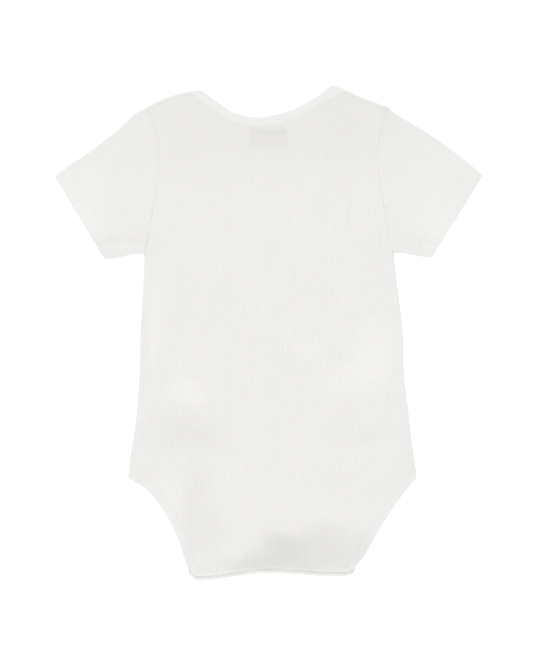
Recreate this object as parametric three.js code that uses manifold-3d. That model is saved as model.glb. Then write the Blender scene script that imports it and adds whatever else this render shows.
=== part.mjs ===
// A baby's short-sleeved bodysuit in rib knit, laid flat on a table with its back upwards.
// Millimetres, +Z up. +Y runs from the crotch to the neck, and -X is the wearer's left.
// The front lies on the table. The back lies on it, and turns down round it at the side seams.
// Each sleeve is one flattened tube. Bands finish the neck and legs, and the crotch is snapped shut.
import * as THREE from "three";
import { mergeVertices } from "three/addons/utils/BufferGeometryUtils.js";
import Module from "manifold-3d";

const wasm = await Module();
wasm.setup();

// Cloth
const cloth = 1.1; // one layer of the knit, between its ribs
const ribPitch = 3;
const ribHeight = 0.4; // how far a rib stands above the cloth
const bandCloth = 1.6; // a band is the knit folded double
const frontBandCloth = 1.3;
const seamGap = 0.3;
const edgeWall = 1.5; // the wall of a folded edge, seen from above
const edgeRound = 1.9; // its outer rounding
const foldRound = 1.2;

// Heights of the layers at the closed edges
const backInside = 1.6; // inner face of the upper layer
const turnedEdge = 0.3; // how near the table the upper layer's turned edge comes
const outOfReach = 30; // past every surface, for cutting blocks

// Widths along the edges
const neckBandWidth = 9;
const legBandWidth = 8;
const sleeveHemWidth = 15;
const sleeveHemRise = 0.5; // the turned hem is double

// How the upper layer stands off the lower one
const pillow = { height: 1.6, reach: 25 };
const cuffOpening = { height: 0.9, reach: 22 };

// At the crotch the back's flap turns under at the fold, and snaps to the front's flap
const wrap = { bottom: 2.6, length: 34 };
const flapRise = { height: 1, from: -150, to: -165 }; // the front's flap lies on the stud caps
const flapPastFold = 4;
const frontLegInset = 6; // the front's leg line is cut higher than the back's
const crotchRise = [
  { fromFold: 0, height: 1.9 },
  { fromFold: 10, height: 3.4 },
  { fromFold: 18, height: 3.4 },
  { fromFold: 30, height: 2.4 },
  { fromFold: 45, height: 1.1 },
  { fromFold: 62, height: 0 },
];

// Press studs
const studs = { x: [-39, 4, 47], y: -177 };
const studCap = { radius: 5, thickness: 0.7, hole: 2.9 };
const studPost = { radius: 2.6, hole: 2.9 };
const studGap = 0.25; // the two halves meet this far under the turned flap
const studRing = { radius: 4.4, thickness: 0.5 };
const roundSides = 12;

const label = { width: 32, height: 18, thickness: 0.4, x: 0, top: 167.3 };

// Armholes and side seams, from the shoulder's end down to the hip
const bodySides = [
  { y: 185, left: -99, right: 97.5 },
  { y: 162, left: -91, right: 91 },
  { y: 142, left: -89, right: 89 },
  { y: 123, left: -90, right: 90.5 },
  { y: 104, left: -93.5, right: 94 },
  { y: 82, left: -97.5, right: 97.5 },
  { y: 65, left: -101, right: 102 },
  { y: 36, left: -102.5, right: 105.5 },
  { y: 2, left: -104.5, right: 109.5 },
  { y: -32, left: -105.5, right: 110.5 },
  { y: -57, left: -107, right: 113.5 },
  { y: -81, left: -109.5, right: 116 },
  { y: -101, left: -113, right: 119 },
  { y: -117.5, left: -114.5, right: 121 },
];
const underarmRow = 6;

// Outer edge of the leg bands, from the hip down to the crotch fold
const legSides = [
  { y: -117.5, left: -114.5, right: 121 },
  { y: -121, left: -108.5, right: 117.7 },
  { y: -127, left: -99.2, right: 112.8 },
  { y: -136, left: -91, right: 105.9 },
  { y: -149, left: -82.5, right: 96.8 },
  { y: -164, left: -74.6, right: 87.4 },
  { y: -179, left: -69.6, right: 79 },
  { y: -188.5, left: -66.5, right: 72.5 },
];

// The crotch fold, from the left leg to the right
const crotchFold = [
  { x: -66.5, y: -188.5 },
  { x: -62.5, y: -195 },
  { x: -52, y: -197.5 },
  { x: -27, y: -194.2 },
  { x: -2, y: -191.3 },
  { x: 26, y: -192.6 },
  { x: 50, y: -194.2 },
  { x: 65, y: -193.4 },
  { x: 72.5, y: -188.5 },
];

// Back neck edge, from the left shoulder to the right
const neckEdge = [
  { x: -58, y: 199 },
  { x: -53, y: 197.2 },
  { x: -40.3, y: 188 },
  { x: -28, y: 180 },
  { x: -11.8, y: 176.2 },
  { x: 3.7, y: 178 },
  { x: 20.8, y: 183.2 },
  { x: 38.7, y: 192.9 },
  { x: 49.5, y: 201.3 },
  { x: 53.5, y: 202.5 },
];
const frontNeckEdge = [
  { x: -58, y: 199 },
  { x: -50, y: 178 },
  { x: -33, y: 155 },
  { x: -3, y: 143.5 },
  { x: 28, y: 157 },
  { x: 46, y: 181 },
  { x: 53.5, y: 202.5 },
];

// Shoulder seams, from the neck to the armhole
const shoulders = {
  left: [
    { x: -58, y: 199 },
    { x: -66, y: 197.7 },
    { x: -83.5, y: 192.6 },
    { x: -99, y: 185 },
  ],
  right: [
    { x: 53.5, y: 202.5 },
    { x: 58.5, y: 201 },
    { x: 76.2, y: 192.7 },
    { x: 97.5, y: 185 },
  ],
};

// Sleeves: the top fold from the armhole to the cuff, and the underarm seam back from it
const sleeves = {
  left: {
    topFold: [
      { x: -99, y: 185 },
      { x: -111, y: 178 },
      { x: -120.5, y: 168.7 },
      { x: -145.5, y: 149 },
      { x: -161, y: 139 },
      { x: -174.6, y: 128.8 },
    ],
    underarm: [
      { x: -133.6, y: 60.4 },
      { x: -124, y: 60.8 },
      { x: -113, y: 63.6 },
      { x: -101, y: 65 },
    ],
  },
  right: {
    topFold: [
      { x: 97.5, y: 185 },
      { x: 104.7, y: 179 },
      { x: 130, y: 163.5 },
      { x: 144, y: 153.8 },
      { x: 165.9, y: 137 },
      { x: 174.6, y: 128.6 },
    ],
    underarm: [
      { x: 133.2, y: 61.8 },
      { x: 127, y: 61.6 },
      { x: 110.5, y: 65 },
      { x: 102, y: 65 },
    ],
  },
};

// Soft folds of the upper layer: each is a line from one end to the other, with its half width
// and how far the cloth rises or sinks along it
const folds = [
  { fromX: -72, fromY: -110, toX: -41, toY: -168, width: 9, height: -1.2 }, // left leg, inner trough
  { fromX: -90, fromY: -126, toX: -60, toY: -186, width: 10, height: 1.1 }, // left leg, ridge
  { fromX: -20, fromY: -186, toX: 24, toY: -184, width: 9, height: -0.9 }, // above the crotch fold
  { fromX: 40, fromY: -146, toX: 44, toY: -166, width: 9, height: -0.8 }, // up from it
  { fromX: 92, fromY: -140, toX: 66, toY: -184, width: 8, height: 0.7 }, // right leg, ridge
  { fromX: -92, fromY: -37, toX: -52, toY: -51, width: 8, height: 0.7 }, // left waist, ridge
  { fromX: -97, fromY: -68, toX: -44, toY: -94, width: 12, height: -0.9 }, // left waist, trough
  { fromX: -90, fromY: -100, toX: -62, toY: -112, width: 8, height: 0.5 }, // left hip, ridge
  { fromX: 58, fromY: -8, toX: 96, toY: -34, width: 20, height: 0.8 }, // right waist, ridge
  { fromX: 48, fromY: -84, toX: 96, toY: -79, width: 12, height: -0.8 }, // right waist, trough
  { fromX: -30, fromY: -76, toX: 32, toY: -86, width: 14, height: -0.4 }, // middle of the seat
  { fromX: -72, fromY: 140, toX: -64, toY: 96, width: 9, height: -0.5 }, // beside the left armhole
  { fromX: 74, fromY: 136, toX: 70, toY: 92, width: 9, height: -0.5 }, // beside the right armhole
  { fromX: -128, fromY: 74, toX: -101, toY: 72, width: 6, height: -0.8 }, // left underarm
  { fromX: 104, fromY: 73, toX: 132, toY: 70, width: 6, height: -0.8 }, // right underarm
  { fromX: -150, fromY: 128, toX: -120, toY: 100, width: 12, height: 0.5 }, // along the left sleeve
  { fromX: 150, fromY: 126, toX: 122, toY: 96, width: 12, height: 0.5 }, // along the right sleeve
];
const foldFade = 12; // a fold fades out this near a closed edge

// Rows of the surfaces, closer together where the cloth is folded
const bodyRows = [
  208, 184, 160, 130, 92, 52, 12, -22, -46, -70, -94, -118, -140, -158, -174, -186, -206,
];
const frontRows = [208, 120, 20, -80, flapRise.from, flapRise.to, -210];
const sleeveRows = [5, -14, -15, -28, -42, -58, -76, -99];
const sleeveHalf = 54; // half the breadth of a sleeve's grid
const bodyHalf = 126; // half the breadth of the body's grid
const coarseStep = 9; // between columns where there are no ribs
const clear = 8; // how far a cut runs past an open edge

// Lines and outlines

const at = ({ x, y }) => new THREE.Vector2(x, y);
const smoothLine = (stations, perSpan = 4) =>
  new THREE.SplineCurve(stations.map(at)).getPoints((stations.length - 1) * perSpan);
const sideLine = (rows, side, perSpan = 3) =>
  smoothLine(
    rows.map((row) => ({ x: row[side], y: row.y })),
    perSpan,
  );

// The line moved sideways by a distance, to its left if positive, which may vary along it.
function offset(line, distance) {
  const by = typeof distance === "function" ? distance : () => distance;
  return line.map((point, i) => {
    const before = line[Math.max(i - 1, 0)];
    const after = line[Math.min(i + 1, line.length - 1)];
    const along = after.clone().sub(before).normalize();
    const share = i / (line.length - 1);
    return point.clone().add(new THREE.Vector2(-along.y, along.x).multiplyScalar(by(share)));
  });
}

// The line, longer by a distance at both of its ends.
function lengthened(line, distance) {
  const reach = (end, next) => end.clone().add(end.clone().sub(next).setLength(distance));
  return [reach(line[0], line[1]), ...line, reach(line.at(-1), line.at(-2))];
}

// Lines joined end to end into one closed outline.
function outlineOf(...lines) {
  const points = lines.flat();
  return points.filter((point, i) => point.distanceTo(points[(i + 1) % points.length]) > 0.05);
}

function circle(x, y, radius, count = roundSides) {
  return Array.from({ length: count }, (_, i) => {
    const angle = (i / count) * 2 * Math.PI;
    return new THREE.Vector2(x + radius * Math.cos(angle), y + radius * Math.sin(angle));
  });
}

// A closed strip beside a line, between two distances from it.
function stripBeside(line, near, far, past = 6) {
  const long = lengthened(line, past);
  return outlineOf(offset(long, near), offset(long, far).reverse());
}

const ramp = (share) => {
  const t = THREE.MathUtils.clamp(share, 0, 1);
  return t * t * (3 - 2 * t);
};

function distanceTo(line, x, y) {
  const point = new THREE.Vector2(x, y);
  let nearest = Infinity;
  for (let i = 1; i < line.length; i += 1) {
    const span = line[i].clone().sub(line[i - 1]);
    const share = THREE.MathUtils.clamp(
      point.clone().sub(line[i - 1]).dot(span) / span.lengthSq(),
      0,
      1,
    );
    nearest = Math.min(nearest, point.distanceTo(line[i - 1].clone().addScaledVector(span, share)));
  }
  return nearest;
}

// The named lines of the garment

const neckLine = smoothLine(neckEdge);
const frontNeckLine = smoothLine(frontNeckEdge);
const foldLine = smoothLine(crotchFold, 3);
const perSide = (side) => {
  const armhole = sideLine(bodySides.slice(0, underarmRow + 1), side);
  const sideSeam = sideLine(bodySides.slice(underarmRow), side);
  const leg = sideLine(legSides, side);
  const shoulder = smoothLine(shoulders[side], 3);
  const topFold = smoothLine(sleeves[side].topFold, 3);
  const underarm = smoothLine(sleeves[side].underarm, 3);
  return { armhole, sideSeam, leg, shoulder, topFold, underarm };
};
const left = perSide("left");
const right = perSide("right");
const edges = [
  neckLine,
  foldLine,
  ...[left, right].flatMap((s) => [s.sideSeam, s.shoulder, s.topFold, s.underarm, s.leg]),
];

function foldHeightAt(x) {
  const i = foldLine.findIndex((point, k) => k > 0 && point.x >= x);
  if (i < 1) return x < 0 ? foldLine[0].y : foldLine.at(-1).y;
  const share = (x - foldLine[i - 1].x) / (foldLine[i].x - foldLine[i - 1].x);
  return THREE.MathUtils.lerp(foldLine[i - 1].y, foldLine[i].y, share);
}

// Height of the upper layer above the lowest it lies

function riseAt(fromFold) {
  const i = crotchRise.findIndex((row) => row.fromFold >= fromFold);
  if (i < 0) return 0;
  if (i === 0) return crotchRise[0].height;
  const [low, high] = [crotchRise[i - 1], crotchRise[i]];
  const share = (fromFold - low.fromFold) / (high.fromFold - low.fromFold);
  return THREE.MathUtils.lerp(low.height, high.height, share);
}

function lift(x, y) {
  const inFromEdge = Math.min(...edges.map((line) => distanceTo(line, x, y)));
  let height = pillow.height * ramp(inFromEdge / pillow.reach) + riseAt(y - foldHeightAt(x));
  for (const fold of folds) {
    const line = [
      new THREE.Vector2(fold.fromX, fold.fromY),
      new THREE.Vector2(fold.toX, fold.toY),
    ];
    const away = distanceTo(line, x, y) / fold.width;
    height += fold.height * Math.exp(-away * away * 2) * ramp(inFromEdge / foldFade);
  }
  return Math.max(height, 0);
}

// Solids

function solidOf(positions, triangles) {
  return new wasm.Manifold(
    new wasm.Mesh({
      numProp: 3,
      vertProperties: new Float32Array(positions.flat()),
      triVerts: new Uint32Array(triangles.flat()),
    }),
  );
}

// A closed geometry as a solid. Triangles that close up to a line when vertices merge are dropped.
function solidFromGeometry(geometry) {
  geometry.deleteAttribute("normal");
  geometry.deleteAttribute("uv");
  const merged = mergeVertices(geometry, 1e-3);
  const points = new THREE.Vector3();
  const vertices = Array.from({ length: merged.attributes.position.count }, (_, i) =>
    points.fromBufferAttribute(merged.attributes.position, i).toArray(),
  );
  const { array } = merged.index;
  const triangles = [];
  for (let i = 0; i < array.length; i += 3) {
    const [a, b, c] = array.slice(i, i + 3);
    if (a !== b && b !== c && c !== a) triangles.push([a, b, c]);
  }
  return solidOf(vertices, triangles);
}

// Everything inside an outline, between two heights.
function prism(outline, low = -outOfReach, high = outOfReach) {
  const shape = new THREE.Shape(outline);
  const geometry = new THREE.ExtrudeGeometry(shape, { depth: high - low, bevelEnabled: false });
  return solidFromGeometry(geometry.translate(0, 0, low));
}

// A block over a grid of stations, between two surfaces that are functions of x, y and the station.
// The grid can be turned, so that its columns follow the ribs.
function block({ across, along, low, top, centre = new THREE.Vector2(), turn = 0 }) {
  const positions = [];
  for (const surface of [low, top])
    for (const v of along)
      across.forEach((u, column) => {
        const point = new THREE.Vector2(u, v).rotateAround(new THREE.Vector2(), turn).add(centre);
        positions.push([point.x, point.y, surface(point.x, point.y, column, v)]);
      });
  const half = across.length * along.length;
  const vertex = (level, row, column) => level * half + row * across.length + column;
  const triangles = [];
  const quad = (a, b, c, d) => triangles.push([a, b, c], [a, c, d]);
  const lastRow = along.length - 1;
  const lastColumn = across.length - 1;
  for (let row = 0; row < lastRow; row += 1) {
    const next = row + 1;
    for (let column = 0; column < lastColumn; column += 1) {
      const beside = column + 1;
      for (const level of [0, 1]) {
        const [a, b] = [vertex(level, row, column), vertex(level, row, beside)];
        const [c, d] = [vertex(level, next, beside), vertex(level, next, column)];
        if (level) quad(a, b, c, d);
        else quad(d, c, b, a);
      }
    }
    quad(vertex(0, row, 0), vertex(1, row, 0), vertex(1, next, 0), vertex(0, next, 0));
    const side = (level, at) => vertex(level, at, lastColumn);
    quad(side(0, row), side(0, next), side(1, next), side(1, row));
  }
  for (let column = 0; column < lastColumn; column += 1) {
    const near = (level, step) => vertex(level, 0, column + step);
    const far = (level, step) => vertex(level, lastRow, column + step);
    quad(near(0, 0), near(0, 1), near(1, 1), near(1, 0));
    quad(far(0, 1), far(0, 0), far(1, 0), far(1, 1));
  }
  return solidOf(positions, triangles);
}

// A cross-section swept along a line. Its points are [distance to the line's left, height],
// in anticlockwise order for someone who looks back along the line.
function sweep(line, sectionAt) {
  const positions = [];
  const sections = line.map(sectionAt);
  line.forEach((point, i) => {
    const along = line[Math.min(i + 1, line.length - 1)].clone().sub(line[Math.max(i - 1, 0)]);
    const aside = new THREE.Vector2(-along.y, along.x).normalize();
    for (const [distance, height] of sections[i])
      positions.push([point.x + aside.x * distance, point.y + aside.y * distance, height]);
  });
  const count = sections[0].length;
  const triangles = [];
  for (let i = 0; i + 1 < line.length; i += 1)
    for (let k = 0; k < count; k += 1) {
      const a = i * count + k;
      const b = i * count + ((k + 1) % count);
      triangles.push([a, b, b + count], [a, b + count, a + count]);
    }
  const faces = (section) =>
    THREE.ShapeUtils.triangulateShape(
      section.map(([u, v]) => new THREE.Vector2(u, v)),
      [],
    );
  const last = (line.length - 1) * count;
  triangles.push(...faces(sections[0]).map(([a, b, c]) => [a, c, b]));
  triangles.push(...faces(sections.at(-1)).map(([a, b, c]) => [a + last, b + last, c + last]));
  return solidOf(positions, triangles);
}

// What rounds off an edge: all that lies outside a quarter round along a line.
// Side is 1 where the cloth is to the line's left and -1 where it is to its right.
function rounder(line, side, edgeAt, { radius = edgeRound, up = 1 } = {}) {
  const steps = 2;
  const path = side > 0 ? line : line.toReversed();
  const past = 3; // the cutter's reach outside the edge
  return sweep(lengthened(path, 1.5), (point) => {
    const edge = edgeAt(point.x, point.y);
    const arc = Array.from({ length: steps + 1 }, (_, k) => {
      const angle = (k / steps) * (Math.PI / 2);
      return [radius * (1 - Math.cos(angle)), edge - up * radius * (1 - Math.sin(angle))];
    });
    const outside = [
      [radius, edge + up * past],
      [-past, edge + up * past],
      [-past, edge - up * radius],
    ];
    const section = [...arc, ...outside];
    return up > 0 ? section : section.toReversed();
  });
}

const stations = (from, to, step) =>
  Array.from({ length: Math.round((to - from) / step) + 1 }, (_, i) => from + i * step);
const ribAt = (column) => (column % 2 ? 0 : ribHeight);
const upperInside = (x, y) => backInside + lift(x, y);
const crest = (x, y) => upperInside(x, y) + cloth + ribHeight;
const rowsUp = bodyRows.toReversed();
const fineColumns = stations(-bodyHalf, bodyHalf, ribPitch / 2);
const coarseColumns = stations(-bodyHalf, bodyHalf, coarseStep);
const flatLow = () => -outOfReach;
const flapHeight = (y) =>
  flapRise.height * THREE.MathUtils.clamp((flapRise.from - y) / (flapRise.from - flapRise.to), 0, 1);

// The body's outline as it lies, clockwise from the left end of the neck, without the sleeves
const bodyOutline = outlineOf(
  neckLine,
  right.shoulder,
  right.armhole,
  right.sideSeam,
  right.leg,
  foldLine.toReversed(),
  left.leg.toReversed(),
  left.sideSeam.toReversed(),
  left.armhole.toReversed(),
  left.shoulder.toReversed(),
);

// Bands along the neck and legs. The outline runs clockwise, so the cloth is to the right of the
// lines on the garment's right side, and to the left of those on its left side.
const inward = (side) => (side === left ? 1 : -1);
const neckStrip = (near, far) => prism(stripBeside(neckLine, -near, -far));
const legStrip = (side, near, far) =>
  prism(stripBeside(side.leg, inward(side) * near, inward(side) * far));

// The hollow between the layers, and the room under the flap that is turned in at the crotch.
// Walls stand where the outline is closed: at the sides, the shoulders and the crotch fold.
const besideFold = (low, high, bottom, top) => {
  const shifted = (by) => [
    new THREE.Vector2(-bodyHalf, foldLine[0].y + by),
    ...foldLine.map((point) => new THREE.Vector2(point.x, point.y + by)),
    new THREE.Vector2(bodyHalf, foldLine.at(-1).y + by),
  ];
  return prism(outlineOf(shifted(low), shifted(high).reverse()), bottom, top);
};
const wall = (line, side, width) =>
  prism(stripBeside(line, -inward(side) * 3, inward(side) * width, 1.5));
const sideWalls = (width) =>
  [left, right].flatMap((side) => [
    wall(side.sideSeam, side, width),
    wall(side.shoulder, side, width),
  ]);
const bodyHollow = (() => {
  const walls = [
    ...sideWalls(edgeWall),
    wall(foldLine, left, edgeWall),
    besideFold(-clear, wrap.length, wrap.bottom, wrap.bottom + cloth),
  ];
  const underBack = block({ across: coarseColumns, along: rowsUp, low: flatLow, top: upperInside });
  return walls
    .reduce((solid, cut) => solid.subtract(cut), underBack)
    .add(besideFold(-clear, wrap.length + clear, -outOfReach, wrap.bottom));
})();

// The upper layer of the body, with its turned edges rounded.
function upperLayer(top, columns) {
  const roundFold = { radius: foldRound };
  const cutters = [
    rounder(left.sideSeam, 1, crest),
    rounder(right.sideSeam, -1, crest),
    rounder(left.shoulder, 1, crest),
    rounder(right.shoulder, -1, crest),
    rounder(foldLine, 1, crest, roundFold),
    rounder(foldLine, 1, () => wrap.bottom, { ...roundFold, up: -1 }),
  ];
  const slab = block({ across: columns, along: rowsUp, low: () => turnedEdge - 1, top });
  const layer = slab.intersect(prism(bodyOutline, turnedEdge)).subtract(bodyHollow);
  return cutters.reduce((solid, cutter) => solid.subtract(cutter), layer);
}

const ribbedTop = (x, y, column) => upperInside(x, y) + cloth + ribAt(column);
const backLayer = upperLayer(ribbedTop, fineColumns);
const backBandLayer = upperLayer((x, y) => upperInside(x, y) + bandCloth, coarseColumns);
const studHole = (x) => prism(circle(x, studs.y, studPost.hole), 0, wrap.bottom + cloth + seamGap);
const backPanel = [
  neckStrip(-clear, neckBandWidth + seamGap),
  legStrip(left, -clear, legBandWidth + seamGap),
  legStrip(right, -clear, legBandWidth + seamGap),
  ...studs.x.map(studHole),
].reduce((solid, cut) => solid.subtract(cut), backLayer);

// The front lies flat on the table inside the back's turned edges, and its flap on the stud caps.
const frontLeg = (side) => {
  const insetEnds = 0.9; // of the leg line's length, from the hip
  const inset = (share) =>
    inward(side) * frontLegInset * Math.sin(Math.PI * Math.min(share / insetEnds, 1));
  const line = offset(side.leg, inset);
  const past = lengthened(line, flapPastFold).at(-1);
  return [...line, past, new THREE.Vector2(past.x, past.y - outOfReach)];
};
const frontLegs = { left: frontLeg(left), right: frontLeg(right) };
const frontOutline = outlineOf(
  frontNeckLine,
  right.shoulder,
  right.armhole,
  right.sideSeam,
  frontLegs.right,
  frontLegs.left.toReversed(),
  left.sideSeam.toReversed(),
  left.armhole.toReversed(),
  left.shoulder.toReversed(),
);
const wholeLength = 420;
const flapEnd = besideFold(-flapPastFold, wholeLength);
const frontLayer = (thickness) => {
  const slab = block({
    across: [-bodyHalf, 0, bodyHalf],
    along: frontRows.toReversed(),
    low: (x, y) => flapHeight(y),
    top: (x, y) => flapHeight(y) + thickness,
  });
  const cut = slab.intersect(prism(frontOutline)).intersect(flapEnd);
  return sideWalls(edgeWall + seamGap).reduce((solid, side) => solid.subtract(side), cut);
};
const frontNeckStrip = (near, far) => prism(stripBeside(frontNeckLine, -near, -far));
const frontLegStrip = (side, near, far) => {
  const line = side === left ? frontLegs.left : frontLegs.right;
  return prism(stripBeside(line, inward(side) * near, inward(side) * far));
};
const frontBandLayer = frontLayer(frontBandCloth);
const capHole = (x) => prism(circle(x, studs.y, studCap.hole));
const frontPanel = [
  frontNeckStrip(-clear, neckBandWidth + seamGap),
  frontLegStrip(left, -clear, legBandWidth + seamGap),
  frontLegStrip(right, -clear, legBandWidth + seamGap),
  ...studs.x.map(capHole),
].reduce((solid, cut) => solid.subtract(cut), frontLayer(cloth));

// A sleeve is a flattened tube: ribs along it above, and a double hem at the cuff.
function makeSleeve(side) {
  const { topFold, underarm, armhole } = side;
  const [cuffTop, cuffBottom] = [topFold.at(-1), underarm[0]];
  const centre = cuffTop.clone().add(cuffBottom).multiplyScalar(0.5);
  const acrossCuff = cuffBottom.clone().sub(cuffTop).normalize();
  const outward = new THREE.Vector2(-acrossCuff.y, acrossCuff.x).multiplyScalar(-inward(side));
  const turn = Math.atan2(outward.y, outward.x) - Math.PI / 2;
  const fromCuff = (x, y) => new THREE.Vector2(x, y).sub(centre).dot(outward);
  const inside = (x, y) => {
    const inFromEdge = Math.min(distanceTo(topFold, x, y), distanceTo(underarm, x, y));
    const { height, reach } = cuffOpening;
    const opening = height * ramp(1 + fromCuff(x, y) / reach) * ramp(inFromEdge / reach);
    return upperInside(x, y) + opening;
  };
  const hem = (x, y) => (fromCuff(x, y) > 0.1 - sleeveHemWidth ? sleeveHemRise : 0);
  const top = (x, y, column) => inside(x, y) + cloth + hem(x, y) + ribAt(column);
  const edge = (x, y) => inside(x, y) + cloth + hem(x, y) + ribHeight;
  const grid = { along: sleeveRows.toReversed(), centre, turn };
  const outer = block({
    ...grid,
    across: stations(-sleeveHalf, sleeveHalf, ribPitch / 2),
    low: flatLow,
    top,
  });
  const between = block({
    ...grid,
    across: stations(-sleeveHalf, sleeveHalf, coarseStep),
    low: () => cloth,
    top: inside,
  });
  const closed = (line) => lengthened(offset(line, inward(side) * edgeWall), clear * 3);
  const hollow = between.intersect(prism(outlineOf(closed(topFold), closed(underarm))));
  const outline = prism(outlineOf(topFold, underarm, armhole.toReversed()), 0);
  const body = prism(stripBeside(armhole, inward(side) * clear * 2, -inward(side) * seamGap));
  const cutters = [
    hollow,
    body,
    rounder(topFold, inward(side), edge),
    rounder(underarm, inward(side), edge),
  ];
  return cutters.reduce((solid, cutter) => solid.subtract(cutter), outer.intersect(outline));
}

// The blank label hangs under the back, just below the neck band.
const underBackBy = (drop) =>
  block({
    across: coarseColumns,
    along: rowsUp,
    low: flatLow,
    top: (x, y) => upperInside(x, y) - drop,
  });
const labelBottom = label.top - label.height;
const labelOutline = [
  new THREE.Vector2(label.x - label.width / 2, labelBottom),
  new THREE.Vector2(label.x + label.width / 2, labelBottom),
  new THREE.Vector2(label.x + label.width / 2, label.top),
  new THREE.Vector2(label.x - label.width / 2, label.top),
];
const neckLabel = underBackBy(seamGap)
  .subtract(underBackBy(seamGap + label.thickness))
  .intersect(prism(labelOutline));

// A solid of revolution about an upright axis through x, from points of [radius, height].
function turned(x, profile) {
  const points = profile.map(([radius, height]) => new THREE.Vector2(radius, height));
  const geometry = new THREE.LatheGeometry(points, roundSides).rotateX(Math.PI / 2);
  return solidFromGeometry(geometry.translate(x, studs.y, 0));
}
const postTop = wrap.bottom - studGap;
const ringBottom = wrap.bottom + cloth + seamGap;
const snapCap = (x) =>
  turned(x, [
    [0, 0],
    [studCap.radius - 0.4, 0],
    [studCap.radius, 0.3],
    [studCap.radius, studCap.thickness],
    [studPost.radius, studCap.thickness],
    [studPost.radius, postTop],
    [0, postTop],
  ]);
const snapStud = (x) =>
  turned(x, [
    [0, postTop + seamGap],
    [studPost.radius, postTop + seamGap],
    [studPost.radius, ringBottom],
    [studRing.radius, ringBottom],
    [studRing.radius, ringBottom + studRing.thickness - 0.2],
    [studRing.radius - 0.3, ringBottom + studRing.thickness],
    [0, ringBottom + studRing.thickness],
  ]);

// The meshes

const materials = {
  knit: new THREE.MeshStandardMaterial({ name: "knit", color: 0xefeeeb, roughness: 0.95 }),
  binding: new THREE.MeshStandardMaterial({ name: "binding", color: 0xf2f1ee, roughness: 0.95 }),
  label: new THREE.MeshStandardMaterial({ name: "label", color: 0xdcdad6, roughness: 0.85 }),
  snap: new THREE.MeshStandardMaterial({ name: "snap", color: 0xe6e4df, roughness: 0.4 }),
};

function meshOf(name, solid, material) {
  const { vertProperties, triVerts, numProp } = solid.getMesh();
  const geometry = new THREE.BufferGeometry();
  const positions = new THREE.BufferAttribute(new Float32Array(vertProperties), numProp);
  geometry.setAttribute("position", positions);
  geometry.setIndex(new THREE.BufferAttribute(new Uint32Array(triVerts), 1));
  geometry.computeVertexNormals();
  const mesh = new THREE.Mesh(geometry, materials[material].clone());
  mesh.name = name;
  return mesh;
}

const onesie = new THREE.Group();
onesie.name = "bodysuit";
const neckBandBack = backBandLayer.intersect(neckStrip(-clear, neckBandWidth));
const neckBandFront = frontBandLayer.intersect(frontNeckStrip(-clear, neckBandWidth));
onesie.add(
  meshOf("back_panel", backPanel, "knit"),
  meshOf("front_panel", frontPanel, "knit"),
  meshOf("sleeve_left", makeSleeve(left), "knit"),
  meshOf("sleeve_right", makeSleeve(right), "knit"),
  meshOf("neck_binding_back", neckBandBack, "binding"),
  meshOf("neck_binding_front", neckBandFront, "binding"),
);
for (const [side, name] of [
  [left, "left"],
  [right, "right"],
]) {
  const backBand = backBandLayer.intersect(legStrip(side, -clear, legBandWidth));
  const frontBand = frontBandLayer.intersect(frontLegStrip(side, -clear, legBandWidth));
  onesie.add(meshOf(`leg_binding_${name}_back`, backBand, "binding"));
  onesie.add(meshOf(`leg_binding_${name}_front`, frontBand, "binding"));
}
onesie.add(meshOf("neck_label", neckLabel, "label"));
studs.x.forEach((x, i) => {
  onesie.add(meshOf(`snap_cap_${i + 1}`, snapCap(x), "snap"));
  onesie.add(meshOf(`snap_stud_${i + 1}`, snapStud(x), "snap"));
});

// The origin is under the middle of the garment, on the table.
const middle = new THREE.Box3().setFromObject(onesie).getCenter(new THREE.Vector3());
for (const mesh of onesie.children) mesh.geometry.translate(-middle.x, -middle.y, 0);

export default onesie;
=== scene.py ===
import math

import bmesh
import bpy
import numpy as np
from mathutils import Matrix, Vector


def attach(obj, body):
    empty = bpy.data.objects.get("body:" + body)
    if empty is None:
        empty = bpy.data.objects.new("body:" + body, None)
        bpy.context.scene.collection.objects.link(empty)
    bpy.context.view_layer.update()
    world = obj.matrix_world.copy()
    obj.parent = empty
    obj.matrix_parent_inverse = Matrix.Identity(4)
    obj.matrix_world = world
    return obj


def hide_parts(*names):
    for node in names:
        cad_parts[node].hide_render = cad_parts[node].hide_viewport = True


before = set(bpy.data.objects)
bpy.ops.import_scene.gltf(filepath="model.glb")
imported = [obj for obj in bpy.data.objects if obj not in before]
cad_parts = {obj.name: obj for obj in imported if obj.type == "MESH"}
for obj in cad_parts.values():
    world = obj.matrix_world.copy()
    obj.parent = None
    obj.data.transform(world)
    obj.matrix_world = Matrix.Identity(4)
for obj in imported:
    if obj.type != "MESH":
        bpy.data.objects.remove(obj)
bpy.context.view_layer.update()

# The garment lies on its front. Lengths are in millimetres until a mesh is finished.
# X and Y are the part's own, before its origin went to the middle of its box.
originY = 0.5


# Camera and light

photo = {
    "width": 533,
    "height": 666,
    "mmPerPixel": 0.815,
    "middle": (-1.6, -0.1),
    "distance": 1600,
    "sensor": 36,
}


def makeCamera():
    data = bpy.data.cameras.new("camera")
    data.sensor_width = photo["sensor"]
    tall = photo["height"] * photo["mmPerPixel"]
    data.lens = photo["sensor"] * photo["distance"] / tall
    data.clip_end = 20
    camera = bpy.data.objects.new("camera", data)
    camera.location = (photo["middle"][0] / 1000, photo["middle"][1] / 1000, photo["distance"] / 1000)
    bpy.context.scene.collection.objects.link(camera)
    bpy.context.scene.camera = camera


light = {
    "skyColour": (1.0, 1.0, 1.0),
    "skyStrength": 0.78,
    "lamps": [
        {"name": "window", "place": (-1.0, 3.0, 1.7), "size": 2.2, "power": 78},
        {"name": "reflector", "place": (0.8, -2.4, 1.3), "size": 2.0, "power": 41},
    ],
}


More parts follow.
